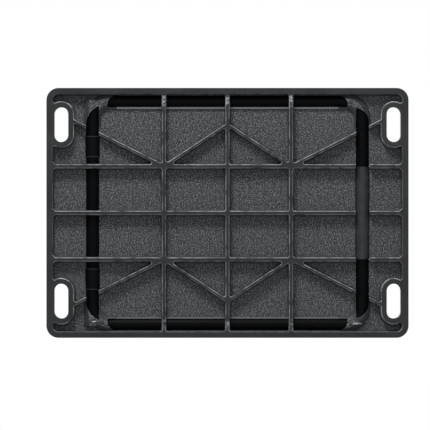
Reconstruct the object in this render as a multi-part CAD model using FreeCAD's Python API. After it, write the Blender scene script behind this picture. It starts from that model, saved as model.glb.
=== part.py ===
"""Rectangular cast manhole cover with a lifting bail folded flat into its floor.

X runs across the short side, Y along the long side, Z up through the tread face.
The cover rests on the lower edge of its rim at z = 0.
"""
import FreeCAD
import Part
import os

os.makedirs("parts", exist_ok=True)
V = FreeCAD.Vector

# Overall casting
width_x = 414.0
length_y = 600.0
corner_r = 20.0
tread_z = 34.0
floor_z = 17.0
rim_wall = 10.5
rim_edge = 1.0

# Raised studs on the tread face
stud_h = 4.0
stud_foot = 16.0
stud_top = 12.0
stud_pitch = 33.0
stud_clear = 2.0

# Ribs under the floor
rib_tip_z = 1.0
rib_w = 6.4
brace_w = 4.8
rib_x = 77.2
rib_y = 105.3
brace_end_x = 153.0
brace_end_y = 256.0
cell_r = 2.8
neck_r = 1.8
draft = 1.6
root_r = 1.0
lead_in = 1.6
lead_z = 3.0
node_pad = 12.5
pad_round = 0.98
gusset = 7.6

# Keyed slots near the corners
slot_x = 146.4
slot_y = 275.6
slot_w = 23.6
slot_len = 58.0
boss_wall = 9.6

# Lifting bail: a round bar bent to a rounded rectangle
bail_x = 185.2
bail_y = 223.9
bend_r = 30.0
bar_r = 11.2
swing_gap = 0.5
grip_wall = 0.9
grip_len = 153.4
sleeve_gap = 0.02

# Openings below the bar and the ledges that carry it
window_half_y_side = 10.8
window_half_x_side = 9.7
window_half_grip = 11.6
window_end_x = 180.4
window_end_r = 35.6
window_end_y = 199.0
window_nose_r = 15.0
grip_window_end_x = 174.0
grip_window_end_r = 24.0
window_margin = 1.4
lip_w = 3.0
lip_z = 13.6
cradle_wall = 2.7
roll_reach = 185.0
roll_from = 150.0

# Hinge hardware
bush_x = 110.0
bush_len = 35.0
bush_gap = 0.3
bush_wall = 1.2
seat_gap = 0.05
strap_w = 40.0
strap_len = 58.0
strap_t = 3.6
strap_r = 6.0
screw_pitch = 44.0
screw_r = 3.0
screw_head_r = 6.0
screw_head_h = 3.0
screw_depth = 9.0
screw_gap = 0.05
socket_r = 2.3
socket_depth = 2.2

# Finger recess in the tread face beside the grip
scoop_half_x = 52.0
scoop_w = 36.0
scoop_depth = 9.0
scoop_r = 12.0
scoop_floor_r = 8.0
scoop_side_x = 5.0
scoop_side_y = 4.0

# How far a cutting shape runs past the face it opens
past = 1.0

groove_r = bar_r + swing_gap
grip_r = bar_r + sleeve_gap + grip_wall
grip_groove_r = grip_r + swing_gap
bush_in_r = bar_r + bush_gap
bush_out_r = bush_in_r + bush_wall
seat_r = bush_out_r + seat_gap
cradle_r = groove_r + cradle_wall
# The bushes come flush with the tread face so that a flat strap holds them down.
bail_z = tread_z - bush_out_r
top_z = tread_z + stud_h
half_x = width_x / 2
half_y = length_y / 2
inner_x = half_x - rim_wall
inner_y = half_y - rim_wall


def rounded_face(hx, hy, r, cx=0.0, cy=0.0):
    """Face of a rounded rectangle with half sizes hx, hy about (cx, cy)."""
    k = r * (1 - 0.5 ** 0.5)
    edges = []
    for sx, sy in ((1, 1), (-1, 1), (-1, -1), (1, -1)):
        a = V(cx + sx * hx, cy + sy * (hy - r), 0)
        m = V(cx + sx * (hx - k), cy + sy * (hy - k), 0)
        b = V(cx + sx * (hx - r), cy + sy * hy, 0)
        if sx * sy < 0:
            a, b = b, a
        edges.append((a, m, b))
    wire = []
    for i, (a, m, b) in enumerate(edges):
        wire.append(Part.Arc(a, m, b).toShape())
        nxt = edges[(i + 1) % 4][0]
        if (nxt - b).Length > 1e-6:
            wire.append(Part.LineSegment(b, nxt).toShape())
    return Part.Face(Part.Wire(wire))


def rect_face(x0, x1, y0, y1):
    """Plain rectangle in the ground plane."""
    pts = [V(x0, y0, 0), V(x1, y0, 0), V(x1, y1, 0), V(x0, y1, 0), V(x0, y0, 0)]
    return Part.Face(Part.makePolygon(pts))


def bar_face(p, q, w):
    """Band of width w from p to q."""
    a = V(p[0], p[1], 0)
    b = V(q[0], q[1], 0)
    d = b - a
    n = V(-d.y, d.x, 0).normalize() * (w / 2)
    return Part.Face(Part.makePolygon([a + n, b + n, b - n, a - n, a + n]))


def slab(face, z0, z1):
    """Prism on a ground-plane face from z0 to z1."""
    base = face.copy()
    base.translate(V(0, 0, z0))
    return base.extrude(V(0, 0, z1 - z0))


def box(x0, x1, y0, y1, z0, z1):
    """Axis-aligned block between two corners."""
    return Part.makeBox(x1 - x0, y1 - y0, z1 - z0, V(x0, y0, z0))


def ring_face(half_w):
    """Band of half width half_w along the bail's centre line."""
    outer = rounded_face(bail_x + half_w, bail_y + half_w, bend_r + half_w)
    inner = rounded_face(bail_x - half_w, bail_y - half_w, bend_r - half_w)
    return outer.cut(inner)


def ring_bar(r):
    """Closed round bar of radius r along the bail's centre line."""
    path = rounded_face(bail_x, bail_y, bend_r).OuterWire.copy()
    path.translate(V(0, 0, bail_z))
    pieces = []
    for edge in path.Edges:
        tangent = edge.tangentAt(edge.FirstParameter)
        at = edge.valueAt(edge.FirstParameter)
        start = Part.Wire([Part.Circle(at, tangent, r).toShape()])
        pieces.append(Part.Wire([edge]).makePipeShell([start], True, False))
    return pieces[0].fuse(pieces[1:]).removeSplitter()


def rod(x0, x1, y, z, r):
    """Round rod along X."""
    return Part.makeCylinder(r, x1 - x0, V(x0, y, z), V(1, 0, 0))


def stadium(cx, cy, r, length):
    """Stadium face with its long axis along X."""
    return rounded_face(length / 2, r, r * 0.9999, cx, cy)


def rib_plan():
    """Plan of every rib, brace, slot boss and node pad under the floor."""
    bands = []
    for x in (-rib_x, 0.0, rib_x):
        bands.append(bar_face((x, -inner_y - past), (x, inner_y + past), rib_w))
        # Each long rib spreads into the end walls with a diamond-shaped gusset.
        for y in (-inner_y, inner_y):
            bands.append(bar_face((x - gusset / 2, y - gusset / 2), (x + gusset / 2, y + gusset / 2),
                                  gusset * 2 ** 0.5))
    for y in (-rib_y, 0.0, rib_y):
        bands.append(bar_face((-inner_x - past, y), (inner_x + past, y), rib_w))
    for sx in (-1, 1):
        bands.append(bar_face((sx * rib_x, -rib_y), (sx * slot_x, 0), brace_w))
        bands.append(bar_face((sx * rib_x, rib_y), (sx * slot_x, 0), brace_w))
        for sy in (-1, 1):
            bands.append(bar_face((sx * rib_x, sy * rib_y),
                                  (sx * brace_end_x, sy * brace_end_y), brace_w))
            bands.append(stadium(sx * slot_x, sy * slot_y, slot_w / 2 + boss_wall,
                                 slot_len + 2 * boss_wall))
            pad = node_pad / 2
            bands.append(rounded_face(pad, pad, pad * pad_round, sx * rib_x, sy * rib_y))
    return bands


def cell_pockets():
    """Drafted pocket with a rounded root for every cell between the ribs."""
    plan = rounded_face(inner_x, inner_y, corner_r - rim_wall).cut(rib_plan())
    tools = []
    for face in plan.Faces:
        core = face.makeOffset2D(-cell_r)
        for cell in core.Faces:
            soft = cell.makeOffset2D(cell_r + neck_r).makeOffset2D(-neck_r)
            wires = []
            for grow, z in ((lead_in, 0.0), (0.0, lead_z), (-draft, floor_z)):
                level = soft.makeOffset2D(grow) if grow else soft
                wire = level.Faces[0].OuterWire.copy()
                wire.translate(V(0, 0, z))
                wires.append(wire)
            mouth = slab(Part.Face(wires[0]), -past, 0)
            tool = Part.makeLoft(wires, True, True)
            roof = [e for e in tool.Edges if e.BoundBox.ZMin > floor_z - 0.01]
            tools.append(tool.makeFillet(root_r, roof).fuse(mouth))
    return tools


def window_faces():
    """Plan of the openings below the bar, split where a rib carries it."""
    trim = rounded_face(window_end_x, bail_y + window_half_y_side, window_end_r)
    half = rib_w / 2 + window_margin
    faces = []
    w = window_half_y_side
    for x0, x1 in ((half, rib_x - half), (rib_x + half, window_end_x)):
        for s in (-1, 1):
            lo, hi = sorted((s * x0, s * x1))
            faces.append(rect_face(lo, hi, -bail_y - w, -bail_y + w).common(trim))
    # The grip side is one long opening, wider along the grip itself.
    end = grip_window_end_x
    faces.append(rect_face(-end, end, bail_y - w, bail_y + w).common(
        rounded_face(end, bail_y + w, grip_window_end_r)))
    g = window_half_grip
    reach = grip_len / 2 + past
    faces.append(rect_face(-reach, reach, bail_y - g, bail_y + g))
    w = window_half_x_side
    trim = rounded_face(bail_x + w, window_end_y, window_nose_r)
    for y0, y1 in ((half, rib_y - half), (rib_y + half, window_end_y)):
        for sy in (-1, 1):
            lo, hi = sorted((sy * y0, sy * y1))
            for sx in (-1, 1):
                face = rect_face(sx * bail_x - w, sx * bail_x + w, lo, hi)
                faces.append(face.common(trim))
    return faces


def stud(cx, cy):
    """One square tapered stud standing on the tread face."""
    a = stud_foot / 2
    b = stud_top / 2
    low = Part.makePolygon([V(cx - a, cy - a, tread_z), V(cx + a, cy - a, tread_z),
                            V(cx + a, cy + a, tread_z), V(cx - a, cy + a, tread_z),
                            V(cx - a, cy - a, tread_z)])
    high = Part.makePolygon([V(cx - b, cy - b, top_z), V(cx + b, cy - b, top_z),
                             V(cx + b, cy + b, top_z), V(cx - b, cy + b, top_z),
                             V(cx - b, cy - b, top_z)])
    return Part.makeLoft([low, high], True, True)


def studs():
    """Stud field, left out over the straps, the slots and the finger recess."""
    keep = stud_foot / 2 + stud_clear
    reach_x = bail_x - groove_r - keep
    reach_y = bail_y - grip_groove_r - keep
    out = []
    cols = [stud_pitch * (i + 0.5) for i in range(-8, 8)]
    rows = [stud_pitch * j for j in range(-9, 10)]
    for x in cols:
        for y in rows:
            inside = abs(x) < reach_x and abs(y) < reach_y
            strap = (y < -bail_y + strap_len / 2 + keep
                     and abs(abs(x) - bush_x) < strap_w / 2 + keep)
            scoop = y > bail_y - grip_groove_r - scoop_w - keep and abs(x) < scoop_half_x + keep
            if inside and not strap and not scoop:
                out.append(stud(x, y))
        edge_y = (bail_y + grip_groove_r + half_y) / 2
        if abs(x) < slot_x - slot_len / 2 - keep:
            out.append(stud(x, edge_y))
            out.append(stud(x, -edge_y))
    return out


def screw_positions(sx):
    """The two screws of one hinge strap."""
    return [(sx * bush_x, -bail_y + s * screw_pitch / 2) for s in (-1, 1)]


def finger_scoop():
    """Shape cut from the tread face so that fingers reach under the grip."""
    mid_y = bail_y - grip_groove_r + past - scoop_w / 2
    low = rounded_face(scoop_half_x - scoop_side_x, scoop_w / 2 - scoop_side_y, scoop_floor_r,
                       0, mid_y + scoop_side_y).OuterWire
    low.translate(V(0, 0, tread_z - scoop_depth))
    high = rounded_face(scoop_half_x, scoop_w / 2, scoop_r, 0, mid_y).OuterWire
    high.translate(V(0, 0, tread_z + past / 4))
    return Part.makeLoft([low, high], True, True)


def casting():
    """The one-piece cast cover."""
    body = slab(rounded_face(half_x, half_y, corner_r), 0, tread_z)
    rim = [e for e in body.Edges if e.BoundBox.ZMax < 0.01 or e.BoundBox.ZMin > tread_z - 0.01]
    body = body.makeFillet(rim_edge, rim)
    body = body.cut(cell_pockets())

    # Lips beside the long openings, and closed half-round cradles under the four bends.
    adds = []
    outer = ring_bar(cradle_r)
    around = cradle_r + past
    for sx in (-1, 1):
        lo_x = sx * bail_x - window_half_x_side - lip_w
        hi_x = sx * bail_x + window_half_x_side + lip_w
        adds.append(box(lo_x, hi_x, -window_end_y, window_end_y, lip_z, floor_z + past))
        lo_x, hi_x = sorted((sx * (window_end_x - window_end_r), sx * (bail_x + around)))
        for sy in (-1, 1):
            lo_y, hi_y = sorted((sy * (window_end_y - window_nose_r), sy * (bail_y + around)))
            adds.append(outer.common(box(lo_x, hi_x, lo_y, hi_y, 0, floor_z + past)))
        roll = rod(lo_x, hi_x, -bail_y, bail_z, cradle_r)
        lo_x, hi_x = sorted((sx * roll_from, sx * (roll_reach + cradle_wall)))
        adds.append(roll.common(box(lo_x, hi_x, -bail_y - around, -bail_y + around,
                                    0, floor_z + past)))
    body = body.fuse(adds)

    cuts = [slab(f, -past, bail_z) for f in window_faces()]
    cuts.append(ring_bar(groove_r))
    cuts.append(slab(ring_face(groove_r), bail_z, top_z))
    half_grip = grip_len / 2 + past
    cuts.append(rod(-half_grip, half_grip, bail_y, bail_z, grip_groove_r))
    cuts.append(box(-half_grip, half_grip, bail_y - grip_groove_r, bail_y + grip_groove_r,
                    bail_z, top_z))
    # Room for the two hinge-side bends to roll upright.
    cuts.append(rod(-roll_reach, roll_reach, -bail_y, bail_z, groove_r))
    reach = bail_x + groove_r
    cuts.append(box(-reach, reach, -bail_y - groove_r - past, -bail_y + groove_r, bail_z, top_z))
    for x0 in (-reach, bail_x):
        cuts.append(box(x0, x0 + groove_r, -bail_y, -bail_y + bend_r, bail_z, top_z))
    # Rib tips stand back from the seat, the rim and slot bosses do not.
    tips = rounded_face(inner_x, inner_y, corner_r - rim_wall)
    for sx in (-1, 1):
        for sy in (-1, 1):
            tips = tips.cut(stadium(sx * slot_x, sy * slot_y, slot_w / 2 + boss_wall,
                                    slot_len + 2 * boss_wall))
            hole = stadium(sx * slot_x, sy * slot_y, slot_w / 2, slot_len)
            cuts.append(slab(hole, -past, top_z))
        seat_half = bush_len / 2 + seat_gap
        mid = sx * bush_x
        cuts.append(rod(mid - seat_half, mid + seat_half, -bail_y, bail_z, seat_r))
        cuts.append(box(mid - seat_half, mid + seat_half, -bail_y - seat_r, -bail_y + seat_r,
                        bail_z, top_z))
        for x, y in screw_positions(sx):
            cuts.append(Part.makeCylinder(screw_r + screw_gap, screw_depth + past,
                                          V(x, y, tread_z - screw_depth)))
    cuts.append(slab(tips, -past, rib_tip_z))
    cuts.append(finger_scoop())
    body = body.cut(cuts)
    return body.fuse(studs()).removeSplitter()


def hinge_bush(sx):
    """Plain sleeve round the bar, held in the casting."""
    x0 = sx * bush_x - bush_len / 2
    x1 = sx * bush_x + bush_len / 2
    return rod(x0, x1, -bail_y, bail_z, bush_out_r).cut(rod(x0, x1, -bail_y, bail_z, bush_in_r))


def countersunk(x, y, z, r, head_r, head_h, length):
    """Countersunk shape with its flat top at z."""
    head = Part.makeCone(head_r, r, head_h, V(x, y, z), V(0, 0, -1))
    shank = Part.makeCylinder(r, length - head_h, V(x, y, z - head_h), V(0, 0, -1))
    return head.fuse(shank).removeSplitter()


def hinge_strap(sx):
    """Flat strap across one bush with two countersunk holes."""
    plate = slab(rounded_face(strap_w / 2, strap_len / 2, strap_r, sx * bush_x, -bail_y),
                 tread_z, tread_z + strap_t)
    for x, y in screw_positions(sx):
        plate = plate.cut(countersunk(x, y, tread_z + strap_t, screw_r + 2 * screw_gap,
                                      screw_head_r + 2 * screw_gap, screw_head_h,
                                      strap_t + past))
    return plate


def strap_screw(x, y):
    """Countersunk screw with a hexagon socket."""
    z = tread_z + strap_t
    body = countersunk(x, y, z, screw_r, screw_head_r, screw_head_h,
                       strap_t + screw_depth - past)
    corners = []
    for k in range(7):
        corners.append(FreeCAD.Rotation(V(0, 0, 1), 60 * (k % 6)).multVec(V(socket_r, 0, 0)))
    socket = Part.Face(Part.makePolygon(corners))
    socket.translate(V(x, y, z - socket_depth))
    return body.cut(socket.extrude(V(0, 0, socket_depth + past)))


def bail_grip():
    """Sleeve on the far side of the bail."""
    x = grip_len / 2
    return rod(-x, x, bail_y, bail_z, grip_r).cut(
        rod(-x, x, bail_y, bail_z, bar_r + sleeve_gap))


def save(name, shape):
    """Write one piece."""
    shape.exportStep("parts/" + name + ".step")


save("cover_casting", casting())
save("bail_hoop", ring_bar(bar_r))
save("bail_grip", bail_grip())
for side, name in ((-1, "a"), (1, "b")):
    save("hinge_bush_" + name, hinge_bush(side))
    save("hinge_strap_" + name, hinge_strap(side))
    for k, (px, py) in enumerate(screw_positions(side)):
        save("strap_screw_" + name + str(k + 1), strap_screw(px, py))
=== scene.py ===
"""Cast iron manhole cover, shown from its ribbed underside, with a fold-flat lifting bail."""

import logging
from dataclasses import dataclass, field
from enum import Enum
from typing import Any

import bmesh
import bpy
from mathutils import Matrix, Vector


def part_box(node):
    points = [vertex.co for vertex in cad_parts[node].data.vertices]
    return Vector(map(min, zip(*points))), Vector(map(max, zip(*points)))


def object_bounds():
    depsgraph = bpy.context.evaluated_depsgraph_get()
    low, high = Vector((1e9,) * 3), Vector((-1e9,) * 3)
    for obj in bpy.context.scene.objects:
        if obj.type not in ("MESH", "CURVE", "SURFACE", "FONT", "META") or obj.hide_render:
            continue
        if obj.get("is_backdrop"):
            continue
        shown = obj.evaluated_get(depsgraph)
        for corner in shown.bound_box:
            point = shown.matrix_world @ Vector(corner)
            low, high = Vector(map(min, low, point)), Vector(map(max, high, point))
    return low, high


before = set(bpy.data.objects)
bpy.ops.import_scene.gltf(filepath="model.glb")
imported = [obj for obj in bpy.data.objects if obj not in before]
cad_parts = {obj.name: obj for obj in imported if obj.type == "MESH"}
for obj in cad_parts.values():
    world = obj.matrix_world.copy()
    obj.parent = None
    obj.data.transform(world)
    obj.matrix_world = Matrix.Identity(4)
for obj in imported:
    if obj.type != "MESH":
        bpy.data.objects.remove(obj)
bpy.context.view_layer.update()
LOG = logging.getLogger("manhole_cover")
MM = 0.001
SENSOR_MM = 36.0
WHITE = (1.0, 1.0, 1.0, 1.0)
# Edges that turn by more than this, in radians, are rounded.
SHARP_ANGLE = 0.6


def linear(code: str) -> tuple[float, float, float, float]:
    """Turn an sRGB hex colour into linear values.

    Args:
        code: six hex digits.

    Returns:
        Linear red, green, blue and an alpha of one.
    """
    parts = [int(code[i:i + 2], 16) / 255 for i in (0, 2, 4)]
    lin = [c / 12.92 if c <= 0.04045 else ((c + 0.055) / 1.055) ** 2.4 for c in parts]
    return (lin[0], lin[1], lin[2], 1.0)


def add_node(tree: bpy.types.NodeTree, kind: str, settings: dict[str, Any] | None = None,
             inputs: dict[str | int, Any] | None = None) -> bpy.types.Node:
    """Add one node, set its properties and fill or link its inputs.

    Args:
        tree: the node tree to add to.
        kind: the node's type name without its ShaderNode prefix.
        settings: properties to set on the node.
        inputs: by input name or number, a value, a socket, or a node whose first output is used.

    Returns:
        The new node.
    """
    made = tree.nodes.new("ShaderNode" + kind)
    for key, value in (settings or {}).items():
        setattr(made, key, value)
    for key, value in (inputs or {}).items():
        if isinstance(value, bpy.types.Node):
            value = value.outputs[0]
        if isinstance(value, bpy.types.NodeSocket):
            tree.links.new(value, made.inputs[key])
        else:
            made.inputs[key].default_value = value
    return made


Sockets = dict[str, bpy.types.NodeSocket]


@dataclass(frozen=True)
class Layout:
    """Where things lie on the cover, in metres from its middle and above its seat.

    Plan sizes come from the frame. The heights inside the casting repeat the part's own.
    """

    half_x: float
    half_y: float
    top: float
    bar_x: float
    bar_r: float
    bush_x: float
    rib_tip: float = 0.0030
    lip: float = 0.0136
    floor: float = 0.0170
    rim_wall: float = 0.0105

    @classmethod
    def from_frame(cls) -> "Layout":
        """Read the plan sizes from the frame's boxes.

        Returns:
            The layout.
        """
        _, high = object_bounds()
        low_bar, high_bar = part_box("bail_hoop")
        low_bush, high_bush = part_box("hinge_bush_b")
        bar_r = (high_bar[2] - low_bar[2]) / 2
        return cls(half_x=high[0], half_y=high[1], top=high[2], bar_x=high_bar[0] - bar_r,
                   bar_r=bar_r, bush_x=(low_bush[0] + high_bush[0]) / 2)


class Join(Enum):
    """How two parts of a surface are put together."""

    BOTH = "MULTIPLY"
    EITHER = "MAXIMUM"


PLACE = Layout.from_frame()


@dataclass(frozen=True)
class Finish:
    """One real finish that can be laid on a piece."""

    name: str

    def start(self) -> tuple[bpy.types.Material, bpy.types.NodeTree, bpy.types.Node]:
        """Start an empty node material.

        Returns:
            The material, its tree and its output node.
        """
        mat = bpy.data.materials.new(self.name)
        mat.use_nodes = True
        mat.node_tree.nodes.clear()
        return mat, mat.node_tree, add_node(mat.node_tree, "OutputMaterial")


@dataclass(frozen=True)
class PaintedIron(Finish):
    """Ductile iron, sand cast and dipped in dark bitumen paint.

    The mould sand leaves the floor between the ribs gritty. The ribs and the rim, where the
    pattern was smoothest and the paint runs thickest, are nearly plain, with a low sheen.
    """

    name: str = "painted_sand_cast_iron"
    rib: str = "1b1e20"
    rib_light: str = "272a2c"
    wall: str = "3c3f42"
    # Pale painted highlight for the rib edges and the spots over the band.
    edge: str = "a6aaad"
    pit: str = "191b1d"
    grit: str = "45474a"
    grit_light: str = "7f8387"
    # Painted highlight along the window lips.
    lip: str = "63666a"
    worn: str = "8b8985"
    # Near-white painted glint for the corner chips.
    bright: str = "c9cbcc"
    # Sand grains of about a millimetre, drawn nearly twice as coarse so that they show.
    grit_mm: float = 1.9
    # Clumps of sand, as wide as three grains.
    clump_mm: float = 5.7
    clump_share: float = 0.18
    # Patches of thicker paint, as a dip leaves them.
    paint_patch_mm: float = 55.0
    # Lengths of the painted highlight along the rib edges, spots of painted glint over the bar's band,
    # and scuffs by shoes.
    edge_glint_mm: float = 14.0
    glint_mm: float = 6.0
    scuff_mm: float = 9.0
    # Low waves of the dried paint.
    skin_mm: float = 3.2
    skin_share: float = 0.14
    relief_mm: float = 0.9
    # Near-white painted glints on the grip-side corners' underside, drawn like chips knocked to metal:
    # middle and reach, in metres.
    corner_glints: tuple[tuple[float, float, float], ...] = (
        (-0.1835, 0.2150, 0.017), (-0.1885, 0.2600, 0.009), (-0.1800, -0.2220, 0.010))
    # A chip is this many times as long as it is wide.
    streak: float = 5.0
    # The painted glints over the band are kept between the outermost ribs, where the bar rattles on its
    # ledges.
    inboard_y: float = 0.135
    paint_rough: float = 0.5
    sand_rough: float = 0.72

    def patterns(self, tree: bpy.types.NodeTree, where: bpy.types.NodeSocket) -> Sockets:
        """Lay out the sand, paint and wear patterns.

        Args:
            tree: the material's tree.
            where: the object coordinates.

        Returns:
            Each pattern's strength, by name.
        """
        found = {}
        for key, size_mm, detail, rough in (
                ("grain", self.grit_mm, 1.5, 0.7), ("clump", self.clump_mm, 2.0, 0.6),
                ("paint", self.paint_patch_mm, 3.0, 0.55), ("edge_glint_spots", self.edge_glint_mm, 4.0, 0.7),
                ("glint_spots", self.glint_mm, 4.0, 0.75),
                ("scuff_spots", self.scuff_mm, 4.0, 0.7), ("skin", self.skin_mm, 3.0, 0.6)):
            found[key] = add_node(tree, "TexNoise", None,
                                  {"Vector": where, "Scale": 1.0 / (size_mm * MM),
                                   "Detail": detail, "Roughness": rough}).outputs[0]
        found["sand"] = add_node(tree, "Mix", None, {0: self.clump_share, 2: found["grain"],
                                                     3: found["clump"]}).outputs[0]
        return found

    def regions(self, tree: bpy.types.NodeTree, where: bpy.types.NodeSocket,
                found: Sockets) -> None:
        """Tell the casting's regions apart by height, place and slope.

        Each row fades a region in from its first value to its second.

        Args:
            tree: the material's tree.
            where: the object coordinates.
            found: the patterns, to which the regions are added by name.
        """
        place = add_node(tree, "SeparateXYZ", None, {0: where})
        normal = add_node(tree, "NewGeometry").outputs["Normal"]
        turn = add_node(tree, "SeparateXYZ", None, {0: normal}).outputs["Z"]
        high = place.outputs["Z"]
        across = add_node(tree, "Math", {"operation": "ABSOLUTE"}, {0: place.outputs["X"]})
        along = add_node(tree, "Math", {"operation": "ABSOLUTE"}, {0: place.outputs["Y"]})
        wall_x = PLACE.half_x - PLACE.rim_wall
        wall_y = PLACE.half_y - PLACE.rim_wall
        lip_x = PLACE.bar_x - PLACE.bar_r
        for key, source, first, second in (
                ("down", turn, -0.85, -0.97), ("steep", turn, -0.9, -0.75),
                ("up", turn, 0.6, 0.9), ("tread", turn, 0.75, 1.2),
                ("above_tip", high, PLACE.rib_tip + 1.5 * MM, PLACE.rib_tip + 3.0 * MM),
                ("under", high, PLACE.floor, PLACE.floor - 1.0 * MM),
                ("lead_in", high, PLACE.rib_tip + 1.2 * MM, PLACE.rib_tip),
                ("lip_from", high, PLACE.lip - 0.6 * MM, PLACE.lip - 0.2 * MM),
                ("lip_to", high, PLACE.lip + 1.0 * MM, PLACE.lip + 0.4 * MM),
                ("stud_top", high, PLACE.top - 0.8 * MM, PLACE.top - 0.2 * MM),
                ("band_in", across, lip_x, lip_x + 8.0 * MM),
                ("band_out", across, wall_x, wall_x - 6.5 * MM),
                ("lip_in", across, lip_x - 2.5 * MM, lip_x - 1.8 * MM),
                ("lip_out", across, lip_x + 3.5 * MM, lip_x + 2.5 * MM),
                ("inboard", along, self.inboard_y, self.inboard_y - 10.0 * MM),
                ("within_x", across, PLACE.half_x - 3.0 * MM, PLACE.half_x - 5.0 * MM),
                ("within_y", along, PLACE.half_y - 3.0 * MM, PLACE.half_y - 5.0 * MM),
                ("inside_x", across, wall_x + 2.5 * MM, wall_x - 3.5 * MM),
                ("inside_y", along, wall_y + 2.5 * MM, wall_y - 3.5 * MM),
                # Noise that breaks the painted highlights on the rib edges and the band into lengths
                # and spots.
                ("thick_paint", found["paint"], 0.35, 0.7), ("rubs", found["edge_glint_spots"], 0.34, 0.6),
                ("glint_dots", found["glint_spots"], 0.46, 0.6),
                ("scuffs", found["scuff_spots"], 0.32, 0.52),
                ("sand_low", found["sand"], 0.39, 0.52), ("sand_high", found["sand"], 0.52, 0.64)):
            found[key] = add_node(tree, "MapRange", {"interpolation_type": "SMOOTHSTEP"},
                                  {"Value": source, "From Min": first,
                                   "From Max": second}).outputs[0]
        # Rows for the rib edges and the band build painted highlights; the trodden stud tops are real
        # wear.
        for key, how, one, other in (
                ("below", Join.BOTH, "down", "above_tip"), ("gritty", Join.EITHER, "below", "tread"),
                ("within", Join.BOTH, "within_x", "within_y"), ("wall", Join.BOTH, "steep", "under"),
                ("side", Join.BOTH, "wall", "within"), ("inside", Join.BOTH, "inside_x", "inside_y"),
                ("low_side", Join.BOTH, "side", "lead_in"), ("edge", Join.BOTH, "low_side", "inside"),
                ("edge_highlight", Join.BOTH, "edge", "rubs"), ("band", Join.BOTH, "band_in", "band_out"),
                # Painted glint where the ribs cross the bar's band.
                ("carried", Join.BOTH, "band", "inboard"), ("band_glint", Join.BOTH, "carried", "glint_dots"),
                ("low_band_glint", Join.BOTH, "band_glint", "under"), ("painted_highlights", Join.EITHER, "edge_highlight", "low_band_glint"),
                # The lip mask lays a painted highlight along the window lips.
                ("lip_level", Join.BOTH, "lip_from", "lip_to"),
                ("lip_strip", Join.BOTH, "lip_in", "lip_out"),
                ("lip", Join.BOTH, "lip_level", "lip_strip"),
                ("trodden", Join.BOTH, "up", "stud_top"), ("worn", Join.BOTH, "trodden", "scuffs"),
                ("grit_height", Join.BOTH, "gritty", "sand")):
            found[key] = add_node(tree, "Math", {"operation": how.value},
                                  {0: found[one], 1: found[other]}).outputs[0]

    def paint(self, tree: bpy.types.NodeTree, found: Sockets) -> bpy.types.NodeSocket:
        """Colour the sand and the iron in layers, and put them together.

        Sand takes its grains and a painted highlight on the window lips, iron its thick and thin
        paint and painted highlights on rib edges and the band; trodden stud tops come over both.

        Args:
            tree: the material's tree.
            found: the patterns and regions.

        Returns:
            The colour.
        """
        colour = {"sand": linear(self.pit), "iron": linear(self.rib)}
        # The lip and edge rows lay painted highlights; the other rows are the iron's and sand's own
        # colour.
        for under, share, over in (
                ("sand", "sand_low", self.grit), ("sand", "sand_high", self.grit_light),
                ("sand", "lip", self.lip), ("iron", "thick_paint", self.rib_light),
                ("iron", "side", self.wall), ("iron", "painted_highlights", self.edge)):
            colour[under] = add_node(tree, "Mix", {"data_type": "RGBA"},
                                     {0: found[share], 6: colour[under],
                                      7: linear(over)}).outputs[2]
        both = add_node(tree, "Mix", {"data_type": "RGBA"},
                        {0: found["gritty"], 6: colour["iron"], 7: colour["sand"]}).outputs[2]
        return add_node(tree, "Mix", {"data_type": "RGBA"},
                        {0: found["worn"], 6: both, 7: linear(self.worn)}).outputs[2]

    def paint_corner_glints(self, tree: bpy.types.NodeTree, where: bpy.types.NodeSocket,
                      found: Sockets, colour: bpy.types.NodeSocket) -> bpy.types.NodeSocket:
        """Paint ragged near-white streaks into the corners' underside, a painted glint shaped like
        knocked chips.

        Args:
            tree: the material's tree.
            where: the object coordinates.
            found: the patterns and regions.
            colour: the colour so far.

        Returns:
            The colour with the chips.
        """
        for glint_x, glint_y, reach in self.corner_glints:
            offset = add_node(tree, "Mapping", None,
                              {"Vector": where,
                               "Location": (-self.streak * glint_x, -glint_y, 0.0),
                               "Scale": (self.streak, 1.0, 0.0)})
            ring = add_node(tree, "VectorMath", {"operation": "LENGTH"}, {0: offset})
            near = add_node(tree, "MapRange", None,
                            {"Value": ring.outputs["Value"], "From Min": reach,
                             "From Max": reach * 0.3})
            ragged = add_node(tree, "Math", {"operation": "MULTIPLY"},
                              {0: near, 1: found["glint_spots"]})
            chip_glint = add_node(tree, "MapRange", {"interpolation_type": "SMOOTHSTEP"},
                            {"Value": ragged, "From Min": 0.34, "From Max": 0.46})
            below = add_node(tree, "Math", {"operation": "MULTIPLY"},
                             {0: chip_glint, 1: found["under"]})
            colour = add_node(tree, "Mix", {"data_type": "RGBA"},
                              {0: below, 6: colour, 7: linear(self.bright)}).outputs[2]
        return colour

    def build(self) -> bpy.types.Material:
        """Build the node material.

        Returns:
            The casting's material.
        """
        mat, tree, out = self.start()
        where = add_node(tree, "TexCoord").outputs["Object"]
        found = self.patterns(tree, where)
        self.regions(tree, where, found)
        # The corner streaks are a painted glint.
        colour = self.paint_corner_glints(tree, where, found, self.paint(tree, found))
        satin = add_node(tree, "MapRange", None,
                         {"Value": found["gritty"], "To Min": self.paint_rough,
                          "To Max": self.sand_rough})
        relief = add_node(tree, "Mix", None,
                          {0: self.skin_share, 2: found["grit_height"], 3: found["skin"]})
        bump = add_node(tree, "Bump", None,
                        {"Strength": 0.75, "Distance": self.relief_mm * MM, "Height": relief})
        shader = add_node(tree, "BsdfPrincipled", None,
                          {"Base Color": colour, "Roughness": satin, "Normal": bump,
                           "Specular IOR Level": 0.4, "IOR": 1.5})
        tree.links.new(shader.outputs[0], out.inputs["Surface"])
        return mat


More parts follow.
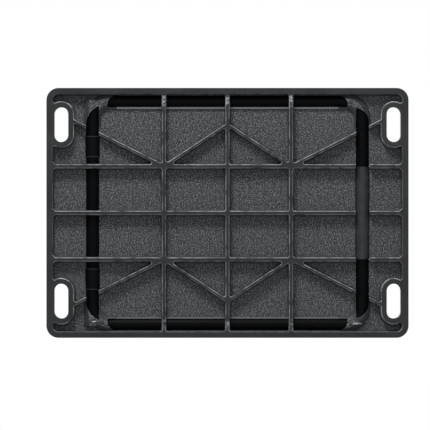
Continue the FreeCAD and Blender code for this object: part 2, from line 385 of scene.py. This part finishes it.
@dataclass(frozen=True)
class Coating(Finish):
    """A smooth coat or moulding: cloudy colour, a faint skin and a few pale rubs.

    Powder coat shows slight orange peel, moulded polyamide a finer and duller skin.
    """

    base: str = "040506"
    pale: str = "08090b"
    rub: str = "1c1e21"
    skin_mm: float = 1.4
    cloud_mm: float = 26.0
    spot_mm: float = 5.0
    rough: float = 0.48
    shine: float = 0.06
    # Distance from the middle of a bush at which its pale ends start, a painted highlight, none at
    # zero.
    end_highlight_from: float = 0.0
    # Colour of the painted highlight at the bush ends.
    end_highlight: str = "33363a"

    def build(self) -> bpy.types.Material:
        """Build the node material.

        Returns:
            The coat's material.
        """
        mat, tree, out = self.start()
        where = add_node(tree, "TexCoord").outputs["Object"]
        value = {}
        for key, size_mm, detail, low, top in (
                ("cloud", self.cloud_mm, 3.0, 0.35, 0.68),
                ("spots", self.spot_mm, 5.0, 0.6, 0.74),
                ("skin", self.skin_mm, 2.0, 0.0, 1.0)):
            noise = add_node(tree, "TexNoise", None,
                             {"Vector": where, "Scale": 1.0 / (size_mm * MM),
                              "Detail": detail, "Roughness": 0.65})
            value[key] = add_node(tree, "MapRange", None,
                                  {"Value": noise, "From Min": low, "From Max": top})
        colour = linear(self.base)
        for key, over in (("cloud", self.pale), ("spots", self.rub)):
            colour = add_node(tree, "Mix", {"data_type": "RGBA"},
                              {0: value[key], 6: colour, 7: linear(over)}).outputs[2]
        # A pale painted highlight at each end of the bush.
        if self.end_highlight_from:
            sideways = add_node(tree, "SeparateXYZ", None, {0: where}).outputs["X"]
            across = add_node(tree, "Math", {"operation": "ABSOLUTE"}, {0: sideways})
            off = add_node(tree, "Math", {"operation": "SUBTRACT"}, {0: across, 1: PLACE.bush_x})
            reach = add_node(tree, "Math", {"operation": "ABSOLUTE"}, {0: off})
            end_highlight_mask = add_node(tree, "MapRange", {"interpolation_type": "SMOOTHSTEP"},
                            {"Value": reach, "From Min": self.end_highlight_from,
                             "From Max": self.end_highlight_from + 1.0 * MM})
            colour = add_node(tree, "Mix", {"data_type": "RGBA"},
                              {0: end_highlight_mask, 6: colour, 7: linear(self.end_highlight)}).outputs[2]
        gloss = add_node(tree, "MapRange", None,
                         {"Value": value["cloud"], "To Min": self.rough - 0.05,
                          "To Max": self.rough + 0.07})
        bump = add_node(tree, "Bump", None,
                        {"Strength": 0.25, "Distance": 0.2 * MM, "Height": value["skin"]})
        shader = add_node(tree, "BsdfPrincipled", None,
                          {"Base Color": colour, "Roughness": gloss, "Normal": bump,
                           "Specular IOR Level": self.shine})
        tree.links.new(shader.outputs[0], out.inputs["Surface"])
        return mat


@dataclass(frozen=True)
class PlatedSteel(Finish):
    """Plated mild steel, slightly cloudy, with brushed streaks.

    Zinc plate is dull silver, and the screws' black oxide is nearly black with a soft shine.
    """

    name: str = "zinc_plated_steel"
    dull: str = "6d7072"
    bright: str = "85888a"
    grime: str = "3a3b3a"
    streak_mm: float = 24.0
    # A brushed streak is this many times as long as it is wide.
    streak_stretch: float = 14.0
    cloud_mm: float = 11.0
    dirt_mm: float = 5.0

    def build(self) -> bpy.types.Material:
        """Build the node material.

        Returns:
            The plated steel.
        """
        mat, tree, out = self.start()
        where = add_node(tree, "TexCoord").outputs["Object"]
        stretched = add_node(tree, "Mapping", None, {"Vector": where,
                                                     "Scale": (1.0, self.streak_stretch,
                                                               self.streak_stretch)})
        value = {}
        for key, vector, size_mm, low, top in (
                ("streak", stretched, self.streak_mm, 0.3, 0.7),
                ("cloud", where, self.cloud_mm, 0.25, 0.8),
                ("dirt", where, self.dirt_mm, 0.55, 0.75)):
            noise = add_node(tree, "TexNoise", None,
                             {"Vector": vector, "Scale": 1.0 / (size_mm * MM),
                              "Detail": 4.0, "Roughness": 0.65})
            value[key] = add_node(tree, "MapRange", None,
                                  {"Value": noise, "From Min": low, "From Max": top})
        colour = linear(self.dull)
        for key, over in (("cloud", self.bright), ("dirt", self.grime)):
            colour = add_node(tree, "Mix", {"data_type": "RGBA"},
                              {0: value[key], 6: colour, 7: linear(over)}).outputs[2]
        gloss = add_node(tree, "MapRange", None,
                         {"Value": value["streak"], "To Min": 0.36, "To Max": 0.54})
        bump = add_node(tree, "Bump", None,
                        {"Strength": 0.2, "Distance": 0.1 * MM, "Height": value["streak"]})
        shader = add_node(tree, "BsdfPrincipled", None,
                          {"Base Color": colour, "Roughness": gloss, "Normal": bump,
                           "Metallic": 0.9})
        tree.links.new(shader.outputs[0], out.inputs["Surface"])
        return mat


@dataclass(frozen=True)
class PaleFloor(Finish):
    """Matt pale studio floor, clear when looked at from below."""

    name: str = "pale_studio_floor"
    tone: str = "6a6a6a"
    glow: float = 0.76

    def build(self) -> bpy.types.Material:
        """Build the node material.

        Returns:
            The floor's material.
        """
        mat, tree, out = self.start()
        back = add_node(tree, "NewGeometry").outputs["Backfacing"]
        matt = add_node(tree, "BsdfDiffuse", None, {"Color": linear(self.tone)})
        light = add_node(tree, "Emission", None, {"Color": WHITE, "Strength": self.glow})
        pale = add_node(tree, "AddShader", None, {0: matt, 1: light})
        mix = add_node(tree, "MixShader", None,
                       {0: back, 1: pale, 2: add_node(tree, "BsdfTransparent")})
        tree.links.new(mix.outputs[0], out.inputs["Surface"])
        return mat


def dress(node: str, mat: bpy.types.Material, edge_mm: float = 0.0) -> None:
    """Give a CAD node its finish and softened edges.

    Args:
        node: the node's name.
        mat: its material.
        edge_mm: width of the edge rounding, none at zero.
    """
    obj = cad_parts[node]
    obj.data.materials.clear()
    obj.data.materials.append(mat)
    if edge_mm:
        weld = obj.modifiers.new("weld", "WELD")
        weld.merge_threshold = 0.02 * MM
        bevel = obj.modifiers.new("edge", "BEVEL")
        bevel.width = edge_mm * MM
        bevel.segments = 2
        bevel.limit_method = "ANGLE"
        bevel.angle_limit = SHARP_ANGLE
        bevel.harden_normals = False
    LOG.info("dressed %s in %s", node, mat.name)


@dataclass
class CoverCasting:
    """The ribbed one-piece casting."""

    edge_mm: float = 0.7
    finish: PaintedIron = field(default_factory=PaintedIron)

    def build(self) -> None:
        """Dress the casting."""
        dress("cover_casting", self.finish.build(), self.edge_mm)


@dataclass
class LiftingBail:
    """The folding bail and its grip sleeve."""

    bar: Coating = field(default_factory=lambda: Coating("black_powder_coat"))
    grip: Coating = field(default_factory=lambda: Coating(
        "grey_polyamide_grip", "222426", "303336", "3a3d40",
        skin_mm=1.1, cloud_mm=18.0, rough=0.5, shine=0.35))

    def build(self) -> None:
        """Dress the bar and the sleeve."""
        dress("bail_hoop", self.bar.build())
        dress("bail_grip", self.grip.build())


@dataclass
class HingeSet:
    """Bushes, straps and screws that hold the bail."""

    # The bush ends carry a painted highlight.
    bush: Coating = field(default_factory=lambda: Coating(
        "black_polyamide_bush", "050607", "0a0b0d", "1c1e21",
        skin_mm=1.1, cloud_mm=18.0, rough=0.5, shine=0.07, end_highlight_from=0.0158))
    plate: PlatedSteel = field(default_factory=PlatedSteel)
    screw: PlatedSteel = field(default_factory=lambda: PlatedSteel(
        "black_oxide_steel", "1f2022", "303235", "151617"))

    def build(self) -> None:
        """Dress each hinge piece."""
        bush = self.bush.build()
        plate = self.plate.build()
        screw = self.screw.build()
        for side in "ab":
            dress("hinge_bush_" + side, bush)
            dress("hinge_strap_" + side, plate, 0.4)
            for number in "12":
                dress("strap_screw_" + side + number, screw)


@dataclass
class Studio:
    """Pale floor, soft lights above and below, and the camera under the cover."""

    ambient: float = 0.41
    lens_mm: float = 400.0
    view_width: float = 0.7123
    aim_x: float = -0.0035
    aim_y: float = -0.0207
    floor_reach: float = 30.0
    # Just under the seat, so that the cover's own lower face never flickers with it.
    floor_z: float = -0.0002
    # Name, place in metres, side in metres and watts of each soft light.
    lamps: tuple[tuple[str, tuple[float, float, float], float, float], ...] = (
        ("key_below", (1.9, -0.5, -1.3), 0.6, 41.0),
        ("fill_below", (0.3, 0.4, -2.3), 1.6, 6.0),
        ("key_above", (1.2, -1.4, 2.2), 1.4, 60.0),
        ("fill_above", (-1.6, 1.0, 1.6), 2.0, 24.0))

    def floor(self) -> None:
        """Lay a floor that is seen from above only, so the underside stays in view."""
        shape = bmesh.new()
        bmesh.ops.create_grid(shape, x_segments=1, y_segments=1, size=self.floor_reach)
        bmesh.ops.translate(shape, verts=shape.verts, vec=(0.0, 0.0, self.floor_z))
        mesh = bpy.data.meshes.new("studio_floor")
        shape.to_mesh(mesh)
        shape.free()
        mesh.materials.append(PaleFloor().build())
        plane = bpy.data.objects.new("studio_floor", mesh)
        bpy.context.collection.objects.link(plane)
        plane.visible_shadow = False
        plane.visible_diffuse = False
        plane.visible_glossy = False
        plane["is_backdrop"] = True

    def lamp(self, name: str, place: tuple[float, float, float], size: float,
             watts: float) -> None:
        """Add one square soft light aimed at the cover.

        Args:
            name: the lamp's name.
            place: its position in metres.
            size: its side in metres.
            watts: its power.
        """
        data = bpy.data.lights.new(name, "AREA")
        data.size = size
        data.energy = watts
        obj = bpy.data.objects.new(name, data)
        obj.location = place
        obj.rotation_euler = (-Vector(place)).to_track_quat("-Z", "Y").to_euler()
        obj.visible_camera = False
        bpy.context.collection.objects.link(obj)

    def world(self) -> None:
        """White surroundings that light the cover less than they show."""
        world = bpy.data.worlds.new("studio_white")
        bpy.context.scene.world = world
        world.use_nodes = True
        tree = world.node_tree
        tree.nodes.clear()
        path = add_node(tree, "LightPath")
        seen = add_node(tree, "Background", None, {0: WHITE, 1: 1.0})
        glow = add_node(tree, "Background", None, {0: WHITE, 1: self.ambient})
        mix = add_node(tree, "MixShader", None,
                       {0: path.outputs["Is Camera Ray"], 1: glow, 2: seen})
        add_node(tree, "OutputWorld", None, {"Surface": mix})

    def camera(self) -> None:
        """Hang the camera under the cover, looking straight up."""
        data = bpy.data.cameras.new("under_camera")
        data.lens = self.lens_mm
        data.sensor_width = SENSOR_MM
        data.clip_end = 50.0
        obj = bpy.data.objects.new("under_camera", data)
        away = self.view_width * self.lens_mm / SENSOR_MM
        turn = Matrix(((0, 1, 0), (1, 0, 0), (0, 0, -1)))
        obj.matrix_world = (Matrix.Translation((self.aim_x, self.aim_y, -away))
                            @ turn.to_4x4())
        bpy.context.collection.objects.link(obj)
        bpy.context.scene.camera = obj

    def build(self) -> None:
        """Set up the whole studio."""
        self.floor()
        self.world()
        for name, place, size, watts in self.lamps:
            self.lamp(name, place, size, watts)
        self.camera()
        bpy.context.scene.view_settings.view_transform = "Standard"


def main() -> None:
    """Build the object in order, then the studio."""
    logging.basicConfig(level=logging.INFO)
    for part in (CoverCasting(), LiftingBail(), HingeSet(), Studio()):
        part.build()
        LOG.info("built %s", type(part).__name__)


if __name__ == "__main__":
    main()
